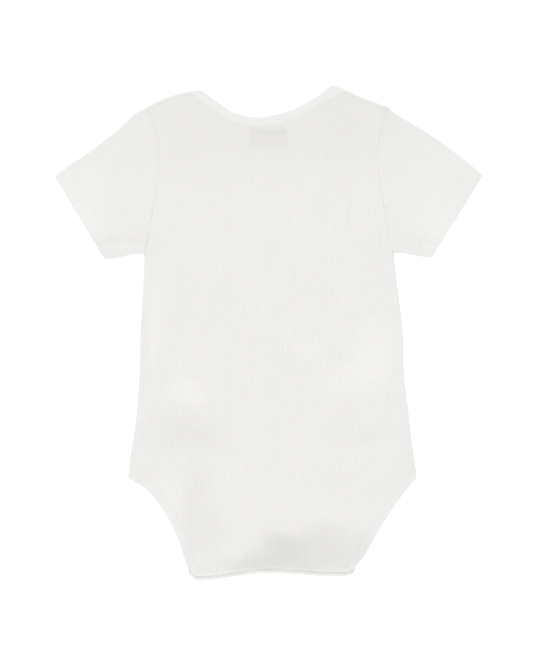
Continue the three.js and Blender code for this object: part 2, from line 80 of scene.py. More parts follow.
def makeLights():
    world = bpy.data.worlds.new("studio")
    world.use_nodes = True
    background = world.node_tree.nodes["Background"]
    background.inputs["Color"].default_value = (*light["skyColour"], 1)
    background.inputs["Strength"].default_value = light["skyStrength"]
    bpy.context.scene.world = world
    for lamp in light["lamps"]:
        data = bpy.data.lights.new(lamp["name"], "AREA")
        data.size = lamp["size"]
        data.energy = lamp["power"]
        shown = bpy.data.objects.new(lamp["name"], data)
        shown.location = lamp["place"]
        shown.rotation_euler = (-Vector(lamp["place"])).to_track_quat("-Z", "Y").to_euler()
        bpy.context.scene.collection.objects.link(shown)
    bpy.context.scene.view_settings.view_transform = "Standard"


makeCamera()
makeLights()
print("camera and lights set")


# Lines of the garment

body = {
    "sides": [  # y, left, right: armhole, side seam, down to the hip
        (185, -99, 97.5), (162, -91, 91), (142, -89, 89), (123, -90, 90.5), (104, -93.5, 94),
        (82, -97.5, 97.5), (65, -101, 102), (36, -102.5, 105.5), (2, -104.5, 109.5),
        (-32, -105.5, 110.5), (-57, -107, 113.5), (-81, -109.5, 116), (-101, -113, 119),
        (-117.5, -114.5, 121),
    ],
    "underarm": 6,  # its row in sides
    "legs": [  # y, left, right: from the hip to the crotch fold
        (-117.5, -114.5, 121), (-121, -108.5, 117.7), (-127, -99.2, 112.8), (-136, -91, 105.9),
        (-149, -82.5, 96.8), (-164, -74.6, 87.4), (-179, -69.6, 79), (-188.5, -66.5, 72.5),
    ],
    "fold": [
        (-66.5, -188.5), (-62.5, -195), (-52, -197.5), (-27, -194.2), (-2, -191.3), (26, -192.6),
        (50, -194.2), (65, -193.4), (72.5, -188.5),
    ],
    "neck": [
        (-58, 199), (-53, 197.2), (-40.3, 188), (-28, 180), (-11.8, 176.2), (3.7, 178),
        (20.8, 183.2), (38.7, 192.9), (49.5, 201.3), (53.5, 202.5),
    ],
    "frontNeck": [
        (-58, 199), (-50, 178), (-33, 155), (-3, 143.5), (28, 157), (46, 181), (53.5, 202.5),
    ],
    "shoulders": {
        "left": [(-58, 199), (-66, 197.7), (-83.5, 192.6), (-99, 185)],
        "right": [(53.5, 202.5), (58.5, 201), (76.2, 192.7), (97.5, 185)],
    },
    "topFolds": {
        "left": [
            (-99, 185), (-111, 178), (-120.5, 168.7), (-145.5, 149), (-161, 139), (-174.6, 128.8),
        ],
        "right": [
            (97.5, 185), (104.7, 179), (130, 163.5), (144, 153.8), (165.9, 137), (174.6, 128.6),
        ],
    },
    "underarms": {
        "left": [(-133.6, 60.4), (-124, 60.8), (-113, 63.6), (-101, 65)],
        "right": [(133.2, 61.8), (127, 61.6), (110.5, 65), (102, 65)],
    },
}


def smoothLine(stations, perSpan=4):
    points = np.array(stations, float)
    ends = np.vstack([points[:1], points, points[-1:]])
    line = []
    for i in range(len(points) - 1):
        before, start, end, after = ends[i : i + 4]
        pullA, pullB = (end - before) / 2, (after - start) / 2
        for step in range(perSpan):
            t = step / perSpan
            cubic = (2 * start - 2 * end + pullA + pullB) * t**3
            square = (-3 * start + 3 * end - 2 * pullA - pullB) * t**2
            line.append(cubic + square + pullA * t + start)
    return np.array(line + [points[-1]])


def aside(line, distance):  # to the line's left if positive
    line = np.asarray(line)
    along = np.gradient(line, axis=0)
    along /= np.linalg.norm(along, axis=1)[:, None]
    normal = np.stack([-along[:, 1], along[:, 0]], axis=1)
    return line + normal * np.reshape(distance, (-1, 1))


def longer(line, by):
    first, last = line[0] - line[1], line[-1] - line[-2]
    return np.vstack([
        line[0] + first / np.linalg.norm(first) * by,
        line,
        line[-1] + last / np.linalg.norm(last) * by,
    ])


def resampled(line, step):
    along = np.concatenate([[0], np.cumsum(np.hypot(*np.diff(line, axis=0).T))])
    even = np.linspace(0, along[-1], int(along[-1] / step) + 1)
    return np.stack([np.interp(even, along, line[:, k]) for k in (0, 1)], axis=1), even


def stripBeside(line, near, far, past=6):
    long = longer(line, past)
    return np.vstack([aside(long, near), aside(long, far)[::-1]])


def distanceTo(line, places):
    best = np.full(len(places), 1e9)
    for start, end in zip(line[:-1], line[1:]):
        span = end - start
        away = places - start
        share = np.clip(away @ span / (span @ span + 1e-12), 0, 1)
        best = np.minimum(best, np.hypot(*(away - share[:, None] * span).T))
    return best


def insideOf(outline, places):
    inside = np.zeros(len(places), bool)
    x, y = places.T
    for (x0, y0), (x1, y1) in zip(outline, np.roll(outline, -1, axis=0)):
        if y0 == y1:
            continue
        crosses = (y0 > y) != (y1 > y)
        inside ^= crosses & (x < x0 + (y - y0) * (x1 - x0) / (y1 - y0))
    return inside


def ramp(share):
    t = np.clip(share, 0, 1)
    return t * t * (3 - 2 * t)


def linesOf(side):
    column = 1 if side == "left" else 2
    rows = [(row[column], row[0]) for row in body["sides"]]
    at = body["underarm"]
    return {
        "armhole": smoothLine(rows[: at + 1]),
        "sideSeam": smoothLine(rows[at:]),
        "leg": smoothLine([(row[column], row[0]) for row in body["legs"]]),
        "shoulder": smoothLine(body["shoulders"][side], 5),
        "topFold": smoothLine(body["topFolds"][side], 5),
        "underarm": smoothLine(body["underarms"][side], 5),
        "inward": 1 if side == "left" else -1,  # which side of its lines the cloth is on
    }


neckLine = smoothLine(body["neck"], 6)
frontNeckLine = smoothLine(body["frontNeck"], 8)
foldLine = smoothLine(body["fold"], 5)
neckBandLine = longer(smoothLine(body["neck"][2:-2], 6), 32)  # straight on past the rounded corners
sides = {name: linesOf(name) for name in ("left", "right")}
left, right = sides["left"], sides["right"]
bodyOutline = np.vstack([
    neckLine,
    right["shoulder"], right["armhole"], right["sideSeam"], right["leg"],
    foldLine[::-1],
    left["leg"][::-1], left["sideSeam"][::-1], left["armhole"][::-1], left["shoulder"][::-1],
])
closedLines = [side[name] for side in (left, right) for name in ("sideSeam", "shoulder")]
sleeveLines = [side[name] for side in (left, right) for name in ("topFold", "underarm")]
edgeLines = [neckLine, foldLine, left["leg"], right["leg"], *closedLines, *sleeveLines]


# How the upper layer lies

cloth = {
    "thickness": 1.1,
    "inside": 1.6,  # inner face of the upper layer at a closed edge
    "ribPitch": 3.0,
    "ribHeight": 0.2,
    "edgeRound": 2.0,
}
lying = {
    "pillow": (1.6, 25),  # height, and how far in from the edges it is reached
    "crotch": [(0, 1.9), (10, 3.4), (18, 3.4), (30, 2.4), (45, 1.1), (62, 0)],  # from fold, height
    "foldFade": 12,
    "folds": [  # from x, y, to x, y, half width, height
        (-72, -110, -41, -168, 9, -1.2),  # left leg, inner trough
        (-90, -126, -60, -186, 10, 1.1),  # left leg, ridge
        (-20, -186, 24, -184, 9, -0.9),  # above the crotch fold
        (40, -146, 44, -166, 9, -0.8),  # up from it
        (92, -140, 66, -184, 8, 0.7),  # right leg, ridge
        (-92, -37, -52, -51, 8, 0.7),  # left waist, ridge
        (-97, -68, -44, -94, 12, -0.9),  # left waist, trough
        (-90, -100, -62, -112, 8, 0.5),  # left hip, ridge
        (58, -8, 96, -34, 20, 0.8),  # right waist, ridge
        (48, -84, 96, -79, 12, -0.8),  # right waist, trough
        (-30, -76, 32, -86, 14, -0.4),  # middle of the seat
        (-72, 140, -64, 96, 9, -0.5),  # beside the left armhole
        (74, 136, 70, 92, 9, -0.5),  # beside the right armhole
        (-128, 74, -101, 72, 6, -0.8),  # left underarm
        (104, 73, 132, 70, 6, -0.8),  # right underarm
        (14, -184, 36, -191, 4, -0.45),  # small crease at the crotch fold
        (2, -170, 14, -158, 7, -0.4),
        (-150, 128, -120, 100, 12, 0.5),  # along the left sleeve
        (150, 126, 122, 96, 12, 0.5),  # along the right sleeve
    ],
    "ripples": [  # wavelength, direction in degrees, phase, height
        (61, 20, 0.4, 0.10), (43, 75, 2.1, 0.08), (34, 130, 4.0, 0.06), (26, 160, 1.2, 0.04),
    ],
}


def swell(places, start, end, width):
    line = np.array([start, end], float)
    return np.exp(-2 * (distanceTo(line, places) / width) ** 2)


def foldHeight(x):
    order = np.argsort(foldLine[:, 0])
    return np.interp(x, foldLine[order, 0], foldLine[order, 1])


def inEdge(places):
    return np.min([distanceTo(line, places) for line in edgeLines], axis=0)


def upperInside(places):
    edge = inEdge(places)
    height, reach = lying["pillow"]
    lift = height * ramp(edge / reach)
    crotchAt, crotchHeight = np.array(lying["crotch"]).T
    lift += np.interp(places[:, 1] - foldHeight(places[:, 0]), crotchAt, crotchHeight)
    fade = ramp(edge / lying["foldFade"])
    for x0, y0, x1, y1, width, rise in lying["folds"]:
        lift += rise * swell(places, (x0, y0), (x1, y1), width) * fade
    for length, degrees, phase, rise in lying["ripples"]:
        across = places @ np.array([math.cos(math.radians(degrees)), math.sin(math.radians(degrees))])
        lift += rise * np.sin(2 * math.pi * across / length + phase) * fade
    return cloth["inside"] + np.maximum(lift, 0)


def ribs(across):
    wave = np.abs(np.sin(math.pi * across / cloth["ribPitch"]))
    return cloth["ribHeight"] * (1 - (1 - wave) ** 2)


# Mesh work

def stations(low, high, step, extra=()):
    even = np.linspace(low, high, max(2, int(round((high - low) / step)) + 1))
    return np.unique(np.round(np.concatenate([even, np.array(extra, float)]), 4))


def makeGrid(columns, rows):
    mesh = bmesh.new()
    across, along = len(columns) - 1, len(rows) - 1
    bmesh.ops.create_grid(mesh, x_segments=across, y_segments=along, size=0.5)
    layer = mesh.loops.layers.uv.new("cloth")
    for vert in mesh.verts:
        column = columns[int(round((vert.co.x + 0.5) * across))]
        row = rows[int(round((vert.co.y + 0.5) * along))]
        vert.co = (column, row, 0)
    for face in mesh.faces:
        for loop in face.loops:
            loop[layer].uv = loop.vert.co.xy
    return mesh


def placesOf(mesh):
    return np.array([vert.co.xy for vert in mesh.verts])


def movePlaces(mesh, moved):
    for vert, (x, y) in zip(mesh.verts, moved):
        vert.co.xy = (x, y)
    mesh.normal_update()
    if sum(face.normal.z for face in mesh.faces) < 0:
        bmesh.ops.reverse_faces(mesh, faces=mesh.faces)


def setHeights(mesh, heights):
    for vert, z in zip(mesh.verts, heights):
        vert.co.z = z


def centres(faces):
    return np.array([face.calc_center_median()[:2] for face in faces])


def simplified(line, tolerance):  # without the points that lie nearly straight
    kept, start = [0], 0
    for end in range(2, len(line)):
        if distanceTo(line[[start, end]], line[start + 1 : end]).max() > tolerance:
            start = end - 1
            kept.append(start)
    return line[[*kept, len(line) - 1]]


def cutAlong(mesh, line, reach=3.4, tolerance=0.03):  # only the faces beside the line
    line = simplified(line, tolerance)
    faces = list(mesh.faces)
    at = centres(faces)
    near = np.flatnonzero(distanceTo(line, at) < reach + 2)
    faces, at = [faces[i] for i in near], at[near]
    for start, end in zip(line[:-1], line[1:]):
        if np.hypot(*(end - start)) < 1e-3:
            continue
        low, high = np.minimum(start, end) - reach, np.maximum(start, end) + reach
        local = [faces[i] for i in np.flatnonzero(((at > low) & (at < high)).all(axis=1))]
        if not local:
            continue
        geometry = dict.fromkeys(local)  # in the same order on each run
        for face in local:
            geometry.update(dict.fromkeys([*face.edges, *face.verts]))
        done = bmesh.ops.bisect_plane(
            mesh,
            geom=list(geometry),
            dist=2e-3,
            plane_co=(*start, 0),
            plane_no=(start[1] - end[1], end[0] - start[0], 0),
        )
        known = set(local)
        fresh = [f for f in done["geom"] if isinstance(f, bmesh.types.BMFace) and f not in known]
        if fresh:
            faces += fresh
            at = np.vstack([at, centres(fresh)])


def keepOnly(mesh, outline, inside=True):
    faces = list(mesh.faces)
    kept = insideOf(outline, centres(faces)) == inside
    gone = [face for face, isKept in zip(faces, kept) if not isKept]
    bmesh.ops.delete(mesh, geom=gone, context="FACES")


def keepNear(mesh, outline, reach):  # and all that lies inside it
    faces = list(mesh.faces)
    at = centres(faces)
    kept = insideOf(outline, at) | (distanceTo(np.vstack([outline, outline[:1]]), at) < reach)
    gone = [face for face, isKept in zip(faces, kept) if not isKept]
    bmesh.ops.delete(mesh, geom=gone, context="FACES")


def flatArea(mesh):
    return sum(face.calc_area() for face in mesh.faces) / 1e6


def add(mesh, other):  # one mesh into another, and the other is gone
    spare = bpy.data.meshes.new("spare")
    other.to_mesh(spare)
    other.free()
    mesh.from_mesh(spare)
    bpy.data.meshes.remove(spare)


def finishPiece(name, mesh, finish, node, thickness=None):
    bmesh.ops.translate(mesh, vec=(0, -originY, 0), verts=mesh.verts)
    bmesh.ops.scale(mesh, vec=(0.001, 0.001, 0.001), verts=mesh.verts)
    data = bpy.data.meshes.new(name)
    mesh.to_mesh(data)
    mesh.free()
    data.polygons.foreach_set("use_smooth", [True] * len(data.polygons))
    data.materials.append(finish.material)
    piece = bpy.data.objects.new(name, data)
    bpy.context.scene.collection.objects.link(piece)
    if thickness:
        wall = piece.modifiers.new("wall", "SOLIDIFY")
        wall.thickness = thickness / 1000
        wall.offset = -1
        wall.use_even_offset = False
        wall.use_quality_normals = True
    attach(piece, "root")
    if node:
        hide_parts(node)
    print(name, len(data.polygons), "faces")
    return piece


# Materials

class Number:
    def __init__(self, finish, socket):
        self.finish = finish
        self.socket = socket

    def work(self, operation, *others):
        return self.finish.add("Math", {"operation": operation}, [self, *others])

    def __add__(self, other):
        return self.work("ADD", other)

    def __radd__(self, other):
        return self.work("ADD", other)

    def __sub__(self, other):
        return self.work("SUBTRACT", other)

    def __rsub__(self, other):
        return (self * -1) + other

    def __mul__(self, other):
        return self.work("MULTIPLY", other)

    def __rmul__(self, other):
        return self.work("MULTIPLY", other)

    def __truediv__(self, other):
        return self.work("DIVIDE", other)

    def __pow__(self, other):
        return self.work("POWER", other)

    def __abs__(self):
        return self.work("ABSOLUTE")

    def sin(self):
        return self.work("SINE")

    def fraction(self):
        return self.work("FRACT")

    def clamped(self):
        return self.finish.add("Clamp", {}, {"Value": self}, "Result")


class Finish:
    def __init__(self, name, **fixed):
        self.material = bpy.data.materials.new(name)
        self.material.use_nodes = True
        self.nodes = self.material.node_tree.nodes
        self.links = self.material.node_tree.links
        self.shader = self.nodes["Principled BSDF"]
        for socket, value in fixed.items():
            self.shader.inputs[socket.replace("_", " ")].default_value = value

    def add(self, kind, settings, sockets, output=0):
        node = self.nodes.new("ShaderNode" + kind)
        for setting, value in settings.items():
            setattr(node, setting, value)
        pairs = sockets.items() if isinstance(sockets, dict) else enumerate(sockets)
        for key, value in pairs:
            if isinstance(value, Number):
                self.links.new(value.socket, node.inputs[key])
            else:
                node.inputs[key].default_value = value
        return Number(self, node.outputs[output])

    def place(self):
        return self.add("TexCoord", {}, {}, "Object")

    def clothPlace(self):
        flat = self.add("UVMap", {"uv_map": "cloth"}, {})
        return self.parts(flat)[:2]

    def parts(self, vector):
        node = self.nodes.new("ShaderNodeSeparateXYZ")
        self.links.new(vector.socket, node.inputs[0])
        return [Number(self, output) for output in node.outputs]

    def noise(self, vector, scale, detail=2.0, roughness=0.5):
        sockets = {"Vector": vector, "Scale": scale, "Detail": detail, "Roughness": roughness}
        return self.add("TexNoise", {}, sockets, 0)

    def mix(self, share, first, second):
        node = self.nodes.new("ShaderNodeMix")
        node.data_type = "RGBA"
        node.clamp_factor = True
        self.links.new(share.socket, node.inputs[0])
        for slot, colour in ((6, first), (7, second)):
            if isinstance(colour, Number):
                self.links.new(colour.socket, node.inputs[slot])
            else:
                node.inputs[slot].default_value = (*colour, 1)
        return Number(self, node.outputs[2])

    def into(self, socket, value):
        self.links.new(value.socket, self.shader.inputs[socket])

    def bump(self, height, distance, strength=1.0):
        sockets = {"Height": height, "Distance": distance, "Strength": strength}
        self.into("Normal", self.add("Bump", {}, sockets))


knit = {
    "rib": (0.715, 0.707, 0.694),
    "groove": (0.649, 0.640, 0.623),
    "cloud": (0.692, 0.684, 0.669),
    "cloudShare": 0.35,
    "mottleShare": 0.10,
    "grooveShadeShare": 0.22,
    "roughness": 0.92,
    "sheen": 0.18,
    "sheenRoughness": 0.6,
    "stitch": (0.75, 0.85),  # width and height of one stitch, in millimetres
    "stitchDepth": 0.00009,
}
labelShade = {"centre": (0, 157.8), "half": (16.4, 9.4), "soft": 2.4, "colour": (0.598, 0.589, 0.573)}
paintedShadeAndLight = [  # painted shade and painted light on the cloth, where folds, hollows and the fall of the light make it darker or lighter: middle, half width and height, share (below 0 painted shade, above 0 painted light)
    {"at": (13, -173), "half": (20, 14), "share": -0.75},  # painted shade over the snapped flaps, where the crotch fold and the layers under the cloth shade it
    {"at": (38, -180), "half": (52, 26), "share": -0.52},
    {"at": (-3, -189), "half": (34, 13), "share": -0.65},
    {"at": (-50, -172), "half": (16, 30), "share": -0.14},
    {"at": (-68, -82), "half": (38, 19), "share": -0.22},  # painted shade in the left waist trough
    {"at": (-58, -138), "half": (14, 36), "share": -0.18},  # painted shade inside the left leg
    {"at": (76, -82), "half": (32, 11), "share": -0.16},
    {"at": (-30, 200), "half": (190, 74), "share": -0.24},  # painted shade across the shoulders
    {"at": (70, 200), "half": (150, 64), "share": -0.13},
    {"at": (86, -12), "half": (24, 24), "share": 0.28},  # painted light on the right waist ridge
    {"at": (74, -36), "half": (32, 17), "share": 0.26},
    {"at": (34, -10), "half": (12, 8), "share": 0.22},
    {"at": (-93, 8), "half": (7, 34), "share": 0.22},  # painted light on the left side
    {"at": (-70, -48), "half": (24, 9), "share": 0.28},
    {"at": (-80, -150), "half": (10, 40), "share": 0.20},  # painted light on the left leg's edge
    {"at": (-146, 97), "half": (20, 28), "share": 0.24},  # painted light on the left cuff
    {"at": (138, 91), "half": (20, 26), "share": 0.24},  # painted light on the right cuff
]
frontPaintedLight = [{"at": (0, -201), "half": (140, 12), "share": 1.0}]  # painted light on the flap's end, which lies in the fold's shadow
# colours of the painted shade and the painted light
paintedShadeAndLightColours = {"dark": (0.598, 0.590, 0.574), "light": (0.80, 0.79, 0.77)}


# Paints shade and light into a colour: soft patches, darker or lighter, with wavering edges.
def withPaintedShadeAndLight(finish, place, colour, patches):
    x, y, z = finish.parts(place)
    waverX = x + (finish.noise(place, 55, 3) - 0.5) * 0.026
    waverY = y + (finish.noise(place, 47, 3) - 0.5) * 0.026
    for patch in patches:
        # from the middle, with 1 a quarter past the half width
        fromX = (waverX - patch["at"][0] / 1000) * (800 / patch["half"][0])
        fromY = (waverY - (patch["at"][1] - originY) / 1000) * (800 / patch["half"][1])
        share = (1 - fromX * fromX - fromY * fromY).clamped() ** 1.6 * (abs(patch["share"]) * 1.15)
        colour = finish.mix(share, colour, paintedShadeAndLightColours["dark" if patch["share"] < 0 else "light"])
    return colour


def clothFinish(name, roughness):
    fuzz = {"Sheen_Weight": knit["sheen"], "Sheen_Roughness": knit["sheenRoughness"]}
    return Finish(name, Roughness=roughness, **fuzz)


def makeKnit(name, patches, overLabel=False):
    finish = clothFinish(name, knit["roughness"])
    across, along = finish.clothPlace()
    ribWave = abs((across * (math.pi / cloth["ribPitch"])).sin())
    groove = (1 - ribWave) ** 1.6
    place = finish.place()
    cloud = ((finish.noise(place, 22, 3) - 0.42) * 2.2).clamped()
    mottle = ((finish.noise(place, 420, 2) - 0.40) * 1.6).clamped()
    colour = finish.mix(cloud * knit["cloudShare"], knit["rib"], knit["cloud"])
    colour = finish.mix(mottle * knit["mottleShare"], colour, knit["groove"])
    # painted shade in the rib grooves
    colour = finish.mix(groove * knit["grooveShadeShare"], colour, knit["groove"])
    colour = withPaintedShadeAndLight(finish, place, colour, patches)
    if overLabel:
        x, y, z = finish.parts(place)
        soft = labelShade["soft"] / 1000
        middleX, middleY = labelShade["centre"][0] / 1000, (labelShade["centre"][1] - originY) / 1000
        halfX, halfY = labelShade["half"][0] / 1000, labelShade["half"][1] / 1000
        fromMiddle = y - middleY
        within = ((halfX - abs(x - middleX)) / soft).clamped()
        within = within * ((halfY - abs(fromMiddle)) / soft).clamped()
        towardsTop = ((fromMiddle + halfY) / (2 * halfY)).clamped()
        share = within * (groove * 0.36 + towardsTop**1.5 * 0.50 + 0.08)
        colour = finish.mix(share, colour, labelShade["colour"])
    finish.into("Base Color", colour)
    width, height = knit["stitch"]
    wale = abs((across / width).fraction() - 0.5) * 2
    loops = ((along / height + wale * 0.5) * (2 * math.pi)).sin() * 0.5 + 0.5
    lint = finish.noise(place, 2600, 3)
    finish.bump(loops * (1 - wale * 0.8) + lint * 0.6, knit["stitchDepth"])
    return finish


band = {
    "colour": (0.708, 0.701, 0.690),
    "shade": (0.668, 0.660, 0.646),
    "ribPitch": 1.7,
    "ribDepth": 0.00016,
    "roughness": 0.92,
}


def makeBinding(name, patches):
    finish = clothFinish(name, band["roughness"])
    along, across = finish.clothPlace()
    ribWave = abs((along * (math.pi / band["ribPitch"])).sin())
    place = finish.place()
    cloud = ((finish.noise(place, 60, 3) - 0.42) * 2.2).clamped()
    colour = finish.mix(cloud * 0.3, band["colour"], band["shade"])
    # painted shade in the band's rib grooves
    colour = finish.mix((1 - ribWave) ** 2 * 0.4, colour, band["shade"])
    finish.into("Base Color", withPaintedShadeAndLight(finish, place, colour, patches))
    lint = finish.noise(place, 2600, 3)
    finish.bump(ribWave + lint * 0.35, band["ribDepth"])
    return finish


tape = {
    "colours": ((0.60, 0.585, 0.555), (0.66, 0.645, 0.615)),
    "roughness": 0.7,
    "threadWidth": 0.35,
    "threadDepth": 0.00006,
}


def makeLabelTape():
    finish = Finish("label tape", Roughness=tape["roughness"])
    across, along = finish.clothPlace()
    turns = math.pi / tape["threadWidth"]
    weave = (across * turns).sin() * (along * turns).sin() * 0.5 + 0.5
    finish.into("Base Color", finish.mix(weave, *tape["colours"]))
    finish.bump(weave, tape["threadDepth"])
    return finish


snapFinish = {
    "colours": ((0.70, 0.69, 0.66), (0.62, 0.61, 0.58)),
    "roughness": 0.28,
    "wornRougher": 0.2,
    "coat": 0.25,
}


def makeEnamel():
    finish = Finish("snap enamel", Coat_Weight=snapFinish["coat"])
    place = finish.place()
    wear = ((finish.noise(place, 900, 3) - 0.45) * 2).clamped()
    finish.into("Base Color", finish.mix(wear, *snapFinish["colours"]))
    finish.into("Roughness", wear * snapFinish["wornRougher"] + snapFinish["roughness"])
    return finish


threadFinish = {"colours": ((0.78, 0.77, 0.745), (0.70, 0.685, 0.655)), "roughness": 0.75}
ground = {"colours": ((0.97, 0.97, 0.97), (0.96, 0.96, 0.96)), "glow": 0.3}


def makeThread():
    finish = Finish("thread", Roughness=threadFinish["roughness"])
    twist = finish.noise(finish.place(), 3000, 1)
    finish.into("Base Color", finish.mix(twist, *threadFinish["colours"]))
    return finish


def makeGround():
    finish = Finish("table", Roughness=1.0, Emission_Strength=ground["glow"])
    finish.shader.inputs["Emission Color"].default_value = (1, 1, 1, 1)
    grain = finish.noise(finish.place(), 40, 2)
    finish.into("Base Color", finish.mix(grain, *ground["colours"]))
    return finish


ribKnit = makeKnit("rib knit", frontPaintedLight)
upperKnit = makeKnit("rib knit of the upper layer", paintedShadeAndLight, overLabel=True)
# the bands get the painted shade and light of the seat and legs, not that of the shoulders
binding = makeBinding("binding", [shade for shade in paintedShadeAndLight if shade["at"][1] < -60])
frontBinding = makeBinding("binding of the front", frontPaintedLight)
labelTape = makeLabelTape()
enamel = makeEnamel()
thread = makeThread()
print("materials made")


# Table

table = {"half": 3, "below": 0.0002}


def makeTable():
    mesh = bmesh.new()
    bmesh.ops.create_grid(mesh, x_segments=2, y_segments=2, size=table["half"])
    bmesh.ops.translate(mesh, vec=(0, 0, -table["below"]), verts=mesh.verts)
    data = bpy.data.meshes.new("table")
    mesh.to_mesh(data)
    mesh.free()
    data.materials.append(makeGround().material)
    top = bpy.data.objects.new("table", data)
    bpy.context.scene.collection.objects.link(top)


makeTable()


# How an edge ends

def rolled(top, distance, radius, low):
    share = np.clip(1 - distance / radius, 0, 1)
    return top - (top - low) * (1 - np.sqrt(1 - share**2))


def seamDip(distance, depth, width):
    return depth * np.exp(-((distance / width) ** 2))


turnedLow = 0.4  # the turned edge stops this far above the table
scores = (0.1, 0.35, 0.8, 1.4)  # extra cuts beside a closed edge, for its rounding


def closedEdges(mesh, lines):
    for line, side in lines:
        cutAlong(mesh, longer(line, 3), tolerance=0)
        for distance in scores:
            cutAlong(mesh, aside(longer(line, 3), side * distance), tolerance=0.005 + distance / 20)


bodyClosed = [
    (left["sideSeam"], 1), (left["shoulder"], 1),
    (right["sideSeam"], -1), (right["shoulder"], -1),
]


# The back, with the flap that turns under at the crotch

back = {
    "neckBand": 8.97,
    "legBand": 7.97,
    "pastLeg": 13,  # the leg bands run on past the leg lines, down to the fold
    "columnStep": 0.5,
    "rowStep": 6,
    "flapTop": 3.7,
    "flapLength": 34,
    "foldLow": 2.8,
    "foldRound": 3.4,
    "bandDip": (0.05, 1.3),  # depth and width where the cloth meets a band
    "armholeDip": (0.06, 1.0),
}


def bodySeams(places):  # how far the cloth dips into its seams
    dip = seamDip(distanceTo(neckBandLine, places) - back["neckBand"], *back["bandDip"])
    for side in (left, right):
        leg = longer(side["leg"], back["pastLeg"])
        dip += seamDip(distanceTo(leg, places) - back["legBand"], *back["bandDip"])
        dip += seamDip(distanceTo(side["armhole"], places), *back["armholeDip"])
    return dip


def closedDistance(places):
    return np.min([distanceTo(line, places) for line in closedLines], axis=0)


def backHeights(places, across):
    top = upperInside(places) + cloth["thickness"]
    top = top + ribs(across) - bodySeams(places)
    top = rolled(top, closedDistance(places), cloth["edgeRound"], turnedLow)
    return rolled(top, distanceTo(foldLine, places), back["foldRound"], back["foldLow"])


def makeBack():
    rows = stations(-204, 204, back["rowStep"], [*np.arange(150, 180, 3), *np.arange(-200, -150, 3)])
    mesh = makeGrid(stations(-123, 123, back["columnStep"]), rows)
    keepNear(mesh, bodyOutline, 9)
    closedEdges(mesh, bodyClosed)
    for distance in (0, 0.15, 0.5, 1.1, 1.8, 2.6):
        cutAlong(mesh, aside(longer(foldLine, 3), distance), tolerance=distance / 16)
    neckSeam = aside(neckBandLine, -back["neckBand"])
    past = back["pastLeg"]
    legSeams = []
    for side in (left, right):
        legSeams.append(aside(longer(side["leg"], past), side["inward"] * back["legBand"]))
    for line in [neckSeam, *legSeams, left["armhole"], right["armhole"]]:
        cutAlong(mesh, line)
    for distance in (0.7, 1.6):
        cutAlong(mesh, aside(neckSeam, -distance), tolerance=0.12)
        for seam, side in zip(legSeams, (left, right)):
            cutAlong(mesh, aside(seam, side["inward"] * distance), tolerance=0.12)
    keepOnly(mesh, bodyOutline)
    keepOnly(mesh, stripBeside(neckBandLine, 8, -back["neckBand"], 0.1), inside=False)
    for side in (left, right):
        inward = side["inward"]
        strip = stripBeside(side["leg"], -8 * inward, back["legBand"] * inward, past)
        keepOnly(mesh, strip, inside=False)
    flap = makeGrid(stations(-72, 76, 1.5), stations(-200, -150, 4))
    foldUp = foldLine + (0, back["flapLength"])
    for line in (foldLine + (0, 1.2), foldUp, *legSeams):
        cutAlong(flap, longer(line, 6))
    between = np.vstack([longer(foldLine + (0, 1.2), 20), longer(foldUp, 20)[::-1]])
    keepOnly(flap, between)
    legSide = np.vstack([legSeams[0], legSeams[1][::-1]])
    keepOnly(flap, legSide)
    area = flatArea(mesh) + flatArea(flap)
    flat = placesOf(mesh)
    setHeights(mesh, backHeights(flat, flat[:, 0]))
    under = placesOf(flap)
    setHeights(flap, back["flapTop"] - ribs(under[:, 0]) * 0.5)
    add(mesh, flap)
    piece = finishPiece("back", mesh, upperKnit, "back_panel", cloth["thickness"])
    return area


# The front, flat on the table, with the flap that snaps to the back's

front = {
    "legInset": 6,
    "insetEnds": 0.9,
    "flapPastFold": 4,
    "flapRise": (1.0, -150, -165),
    "sideInset": 1.9,
    "neckBand": 9.15,
    "legBand": 8.15,
}


def frontLeg(side):
    line = side["leg"]
    share = np.linspace(0, 1, len(line))
    inset = front["legInset"] * np.sin(math.pi * np.minimum(share / front["insetEnds"], 1))
    line = aside(line, side["inward"] * inset)
    past = longer(line, front["flapPastFold"])[-1]
    return np.vstack([line, past, past - (0, 20)])


frontLegs = {"left": frontLeg(left), "right": frontLeg(right)}
flapEnd = longer(foldLine - (0, front["flapPastFold"]), 14)
aboveEnd = np.vstack([
    [[-200, flapEnd[0, 1]]], flapEnd, [[200, flapEnd[-1, 1]], [200, 260], [-200, 260]],
])


def flapHeight(places):
    height, start, end = front["flapRise"]
    return height * ramp((start - places[:, 1]) / (start - end))


def frontOutline():
    inset = front["sideInset"]
    rows = [
        frontNeckLine,
        aside(right["shoulder"], -inset), right["armhole"], aside(right["sideSeam"], -inset),
        frontLegs["right"],
        frontLegs["left"][::-1],
        aside(left["sideSeam"], inset)[::-1], left["armhole"][::-1],
        aside(left["shoulder"], inset)[::-1],
    ]
    return np.vstack(rows)


